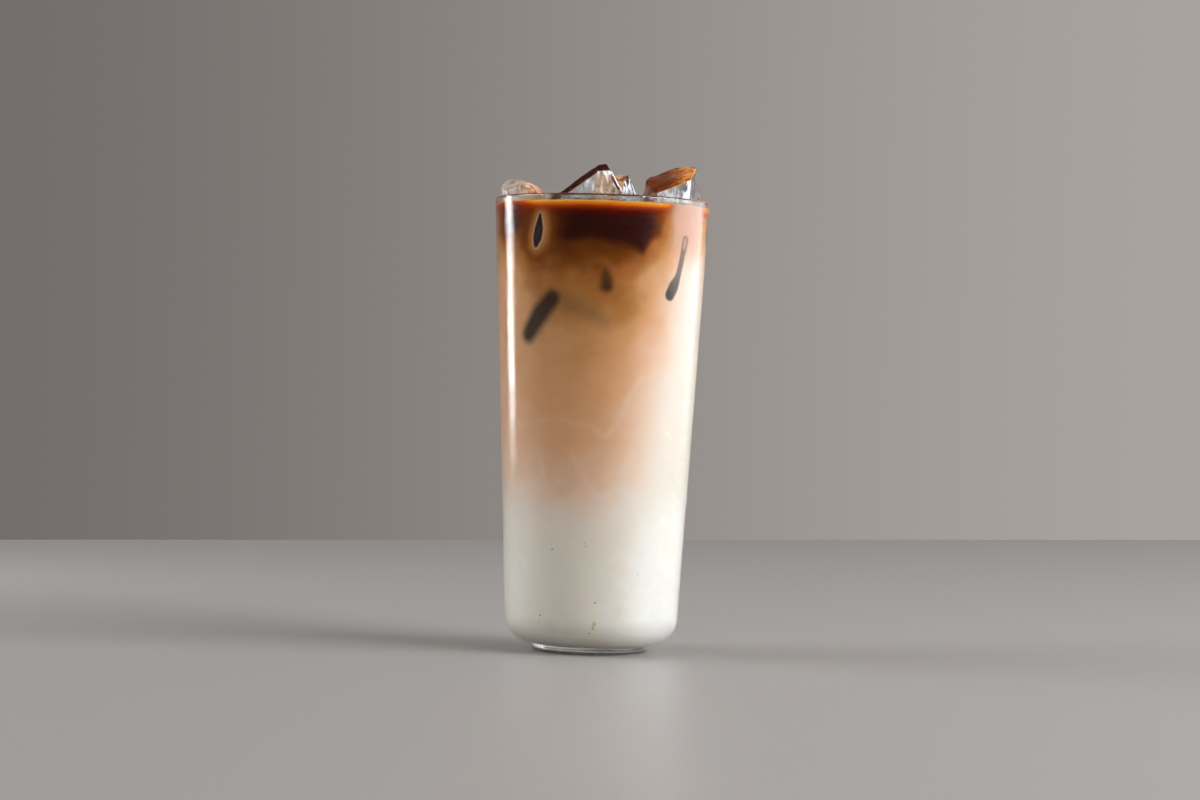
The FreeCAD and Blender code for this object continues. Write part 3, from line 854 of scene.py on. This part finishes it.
def melted_hull(name, corners, melt, seed, material):
    """A chip of ice: the hull of its corners, melted round, with a gently rippled surface."""
    body = bmesh.new()
    for corner in corners:
        body.verts.new(Vector(corner) * MM)
    bmesh.ops.convex_hull(body, input=body.verts)
    bmesh.ops.recalc_face_normals(body, faces=body.faces)
    mesh = bpy.data.meshes.new(name)
    body.to_mesh(mesh)
    body.free()
    piece = add_object(name, mesh, [material])
    remesh = piece.modifiers.new("even", "REMESH")
    remesh.mode = "VOXEL"
    remesh.voxel_size = ICE_VOXEL
    soften = piece.modifiers.new("melt", "SMOOTH")
    soften.factor = 0.5
    soften.iterations = melt
    apply_modifiers(piece)
    shift = Vector((seed, 0.37 * seed, -0.61 * seed))
    moves = []
    for vertex in piece.data.vertices:
        dent = sum(swell(vertex.co, size, shift) * depth for size, depth in DENTS)
        moves.append(vertex.normal * dent * MM)
    for vertex, move in zip(piece.data.vertices, moves):
        vertex.co += move
    return piece


def facing(normal, x, y, z, start, full):
    """How far a surface faces a direction: 0 up to a cosine of start, 1 from full."""
    return smooth_step(start, full, Vector((x, y, z)).normalized().dot(normal))


def waterline_film(spot, reach):
    """The film left near the waterline: full at the drink's level, gone a few mm above it."""
    return 1 - smooth_step(LEVEL + 1.0 * MM, LEVEL + reach * MM, spot.z)


def near(spot, start, end, radius):
    """1 within a distance of the line between two places in mm, falling to 0 at twice it."""
    start, end = Vector(start) * MM, Vector(end) * MM
    run = end - start
    along = min(1.0, max(0.0, (spot - start).dot(run) / max(run.length_squared, 1e-12)))
    return 1 - smooth_step(radius * MM, 2 * radius * MM, (spot - start.lerp(end, along)).length)


# Where coffee lies on each chip, and where white cracks gather in it: mostly on faces turned to the
# lamps, where their white is partly painted highlight. Places are in mm.
def wet_left(spot, normal):
    """A thin film all over, thicker to the right."""
    return 0.20 + 0.35 * smooth_step(-29 * MM, -19 * MM, spot.x), 0.25


def wet_centre(spot, normal):
    """Coffee on the slope to the left, its front edge and the knob on top, and one run down the front."""
    slope = facing(normal, -0.58, 0.0, 0.81, 0.80, 0.93)
    edge = near(spot, (-18.6, -15.5, 145.4), (-3.2, -14.2, 156.8), 0.75)
    knob = near(spot, (-1.6, -12.5, 158.6), (0.9, -12.0, 158.9), 1.5)
    streak = near(spot, (3.2, -14.0, 154.6), (6.4, -15.0, 149.2), 0.45)
    film = max(waterline_film(spot, 2.5), slope, edge, knob, streak)
    return film, facing(normal, 0.75, -0.45, 0.45, 0.35, 0.75)


def wet_back(spot, normal):
    """A thin film towards the front left."""
    film = max(waterline_film(spot, 2.5), 0.45 * facing(normal, -0.7, -0.6, 0.3, 0.3, 0.8))
    return film, facing(normal, 0.6, -0.6, 0.4, 0.3, 0.7)


def wet_right(spot, normal):
    """Coffee over the sloping top and the left end, and a dab at the far corner."""
    # The film thins towards the right, where its orange and gold are partly thinner coffee and partly
    # painted light of the key lamps shining through it.
    thick = 0.95 - 0.45 * smooth_step(20 * MM, 28 * MM, spot.x)
    top = facing(normal, -0.25, -0.42, 0.87, 0.50, 0.80)
    end = facing(normal, -1.0, -0.2, 0.1, 0.40, 0.75)
    corner = near(spot, (29.0, 1.0, 160.2), (30.4, 0.0, 159.8), 0.5)
    film = max(waterline_film(spot, 2.0), thick * max(top, end), corner)
    return film, facing(normal, 0.2, -1.0, 0.1, 0.6, 0.9)


WETTING = {
    "ice_left": wet_left,
    "ice_centre": wet_centre,
    "ice_back": wet_back,
    "ice_right": wet_right,
}


def make_floating_ice():
    """The four chips that stand proud of the rim."""
    for name, chip in FLOATING.items():
        material = clear_ice("wet_" + name, chip["film"])
        piece = melted_hull(name + "_chip", chip["corners"], chip["melt"], chip["seed"], material)
        wetting = [WETTING[name](vertex.co, vertex.normal) for vertex in piece.data.vertices]
        store(piece, "coffee_film", [film for film, _ in wetting])
        store(piece, "cracks_and_glints", [cracks for _, cracks in wetting])
        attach(piece, "root")
        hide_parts(name)


# A sunk block's depth in mm, how far it spreads behind its edge in degrees, and how far behind the
# wall it stays: where the coffee thins round it, it stands a hair proud of the drink's side. Windows
# fainter than the last number have no block.
SUNK_DEPTHS = (9, 13)
SUNK_SPREAD = 16
SUNK_TOUCHING = -REACH - 0.02 * MM
SUNK_BEHIND = 0.8 * MM
FAINTEST_BLOCK = 0.5


def make_sunk_ice(finish):
    """The ice under the surface: a block in painted shade behind each place where ice shows against the
    wall.
    """
    for index, window in enumerate(WINDOWS, start=1):
        if max(window["dark"]) < FAINTEST_BLOCK:
            continue
        chooser = random.Random(100 + index)
        depth = chooser.uniform(*SUNK_DEPTHS)
        sink = SUNK_TOUCHING if "halo" in window else SUNK_BEHIND
        corners = []
        for (bearing, height), half in zip(window["line"], window["half"]):
            aside = math.degrees(0.45 * half / MEAN_RADIUS)
            for side in (-1, 1):
                corners.append(wall_point(bearing + side * aside, height, sink) / MM)
                back_height = height + chooser.uniform(-1, 1)
                corners.append(wall_point(bearing + side * SUNK_SPREAD, back_height, depth * MM) / MM)
        piece = melted_hull("sunk_ice_%d" % index, corners, 2, 60 + index, finish)
        for vertex in piece.data.vertices:
            radius = math.hypot(vertex.co.x, vertex.co.y)
            limit = outer_radius(vertex.co.z) - WALL - sink + 0.01 * MM
            if radius > limit:
                vertex.co.x *= limit / radius
                vertex.co.y *= limit / radius
        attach(piece, "root")


# ---------------------------------------------------------------- flecks in the milk

# Flecks at the drink's side: bearing and height, then width and height, in degrees and mm. The
# specks are bubbles and coffee grounds; the smudge is a pale leaf-green one.
SPECKS = (
    (-26.7, 34.3, 0.55, 0.55), (2.5, 17.6, 0.60, 0.50), (-35.9, 12.8, 0.60, 0.55),
    (-37.4, 10.6, 0.40, 0.45), (-5.4, 36.6, 0.40, 0.40), (-4.2, 35.6, 0.45, 0.40),
    (-0.9, 7.9, 0.50, 0.45), (31.0, 27.0, 0.35, 0.35), (88.0, 31.0, 0.55, 0.50),
    (104.0, 16.0, 0.50, 0.55), (141.0, 37.0, 0.45, 0.45), (168.0, 20.0, 0.60, 0.50),
    (203.0, 33.0, 0.45, 0.40), (226.0, 14.0, 0.55, 0.55), (251.0, 28.0, 0.50, 0.45),
)
SMUDGES = ((2.5, 10.9, 1.2, 1.9), (1.5, 9.4, 0.9, 1.1))


def drink_wall(height):
    """The radius of the drink's side at a height, and how far its surface leans out there."""
    profile = inner_profile(REACH, LEVEL)
    for (radius, low), (next_radius, high) in zip(profile, profile[1:]):
        if low < height <= high:
            along = (height - low) / (high - low)
            return radius + (next_radius - radius) * along, math.atan2(next_radius - radius, high - low)
    return profile[-1][0], LEAN


def make_flecks(name, spots, stand, material):
    """One piece of small flattened flecks on the drink's side, standing so many mm proud of it."""
    body = bmesh.new()
    for bearing, height, wide, tall in spots:
        turned = math.radians(bearing)
        radius, lean = drink_wall(height * MM)
        away = Vector((math.sin(turned), -math.cos(turned), 0.0))
        out = away * math.cos(lean) - Vector((0, 0, math.sin(lean)))
        aside = Vector((math.cos(turned), math.sin(turned), 0.0))
        up = out.cross(aside)
        shape = Matrix((aside * wide * MM / 2, up * tall * MM / 2, out * stand * MM)).transposed()
        place = Matrix.Translation(away * radius + Vector((0, 0, height * MM)))
        bmesh.ops.create_icosphere(body, subdivisions=2, radius=1.0, matrix=place @ shape.to_4x4())
    bmesh.ops.recalc_face_normals(body, faces=body.faces)
    mesh = bpy.data.meshes.new(name)
    body.to_mesh(mesh)
    body.free()
    piece = add_object(name, mesh, [material])
    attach(piece, "root")


def speck_finish(name, low, high):
    """Grounds or leaf in milk: matt, with the tone uneven over 0.83 mm."""
    material, tree, output = new_material(name)
    place = add_node(tree, "ShaderNodeTexCoord").outputs["Object"]
    cloud = add_node(tree, "ShaderNodeTexNoise", Vector=place, Scale=pattern_scale(0.8333))
    colour = colour_ramp(tree, cloud.outputs["Fac"], ((0.35, low), (0.65, high)))
    shader = add_node(tree, "ShaderNodeBsdfPrincipled", Base_Color=colour.outputs["Color"], Roughness=0.6)
    tree.links.new(shader.outputs["BSDF"], output.inputs["Surface"])
    return material


def make_specks():
    """Bubbles, grounds and a leaf-green smudge in the milk, against the inside of the wall."""
    grounds = speck_finish("grounds_in_milk", "#7E7464", "#A39A88")
    leaf = speck_finish("pale_green_leaf", "#C6BF7E", "#DDD8A6")
    make_flecks("specks", SPECKS, 0.08, grounds)
    make_flecks("smudge", SMUDGES, 0.04, leaf)


# ---------------------------------------------------------------- stage, light and camera

# The camera's place in metres, its lens in mm and its turns in degrees.
CAMERA_DISTANCE = 0.9435
CAMERA_HEIGHT = 0.0837
CAMERA_LENS = 85.96
CAMERA_PITCH = -0.078
CAMERA_YAW = 0.059
CAMERA_ROLL = 1.64
SENSOR_WIDTH = 36.0

# The table top lies a hair under the foot, so that the foot keeps its own mirror of the milk. Its far
# edge runs aslant, so that it looks almost level to the rolled camera.
TABLE = -0.05 * MM
TABLE_CORNERS = ((-3, -2.4, TABLE), (3, -2.4, TABLE), (3, 2.42, TABLE), (-3, -0.97, TABLE))

# Soft panels that face the glass: bearing in degrees, distance and height of the middle, width and
# height of the panel in metres, radiance and tint.
LIGHTS = {
    "key_panel": (112, 1.4, 0.32, 1.5, 0.6, 2.0, "#F6F8FF"),
    "key_above": (70, 1.6, 0.78, 1.4, 0.9, 17.0, "#F6F9FF"),
    "left_strip": (-118, 0.56, 0.147, 0.032, 0.206, 39.0, "#FFFFFF"),
    "left_sheen": (-107, 1.45, 0.36, 0.30, 0.55, 0.5, "#FFFFFF"),
    "left_above": (-85, 1.6, 0.9, 1.2, 1.0, 8.4, "#F1F6FF"),
    "left_low": (-66, 0.5, 0.035, 0.5, 0.055, 0.3, "#FFFFFF"),
    "front_above": (-8, 1.7, 1.3, 2.0, 1.4, 0.6, "#FFEDC6"),
}
AIM = Vector((0, 0, 0.08))


def add_light(name, bearing, distance, height, width, tall, radiance, tint):
    """A soft rectangular panel that faces the glass; the camera doesn't see it."""
    data = bpy.data.lights.new(name, "AREA")
    data.shape = "RECTANGLE"
    data.size = width
    data.size_y = tall
    data.energy = radiance * math.pi * width * tall
    data.color = linear(tint)[:3]
    lamp = bpy.data.objects.new(name, data)
    bpy.context.scene.collection.objects.link(lamp)
    turned = math.radians(bearing)
    lamp.location = (distance * math.sin(turned), -distance * math.cos(turned), height)
    lamp.rotation_euler = (AIM - lamp.location).to_track_quat("-Z", "Y").to_euler()
    lamp.visible_camera = False


def studio_world():
    """Pale grey behind the glass, fading to a dim room behind the viewer."""
    world = bpy.data.worlds.new("studio")
    bpy.context.scene.world = world
    world.use_nodes = True
    tree = world.node_tree
    direction = add_node(tree, "ShaderNodeTexCoord").outputs["Generated"]
    along = add_node(tree, "ShaderNodeSeparateXYZ", Vector=direction)
    across = add_node(tree, "ShaderNodeMapRange", {"interpolation_type": "SMOOTHSTEP"},
                      Value=along.outputs["X"], From_Min=-0.24, From_Max=0.24)
    depth = add_node(tree, "ShaderNodeMapRange", {"interpolation_type": "SMOOTHSTEP"},
                     Value=along.outputs["Y"], From_Min=-0.75, From_Max=0.45)
    backdrop = colour_ramp(tree, across.outputs["Result"], ((0.0, "#726D6A"), (1.0, "#AAA49F")))
    colour = add_node(tree, "ShaderNodeMix", {"data_type": "RGBA"}, _0=depth.outputs["Result"],
                      _6=linear("#2A2826"), _7=backdrop.outputs["Color"])
    tree.links.new(colour.outputs[2], tree.nodes["Background"].inputs["Color"])


def make_stage():
    """Table and the lights: panels that the glass mirrors, and higher ones that only light it."""
    mesh = bpy.data.meshes.new("table")
    mesh.from_pydata(TABLE_CORNERS, [], [(0, 1, 2, 3)])
    add_object("table", mesh, [stage_floor()])
    studio_world()
    for name, panel in LIGHTS.items():
        add_light(name, *panel)


def make_camera():
    """The camera, level with the middle of the glass and rolled a little."""
    data = bpy.data.cameras.new("camera")
    data.lens = CAMERA_LENS
    data.sensor_width = SENSOR_WIDTH
    camera = bpy.data.objects.new("camera", data)
    bpy.context.scene.collection.objects.link(camera)
    turned = Matrix.Rotation(math.radians(-CAMERA_YAW), 4, "Z")
    tipped = Matrix.Rotation(math.radians(90 + CAMERA_PITCH), 4, "X")
    rolled = Matrix.Rotation(math.radians(CAMERA_ROLL), 4, "Z")
    placed = Matrix.Translation((0, -CAMERA_DISTANCE, CAMERA_HEIGHT))
    camera.matrix_world = placed @ turned @ tipped @ rolled
    bpy.context.scene.camera = camera


make_camera()
make_stage()
make_tumbler(tumbler_glass())
make_drink(drink_side(), drink_surface())
make_floating_ice()
make_sunk_ice(sunk_ice_shade_finish())
make_specks()
bpy.context.scene.view_settings.view_transform = "Standard"
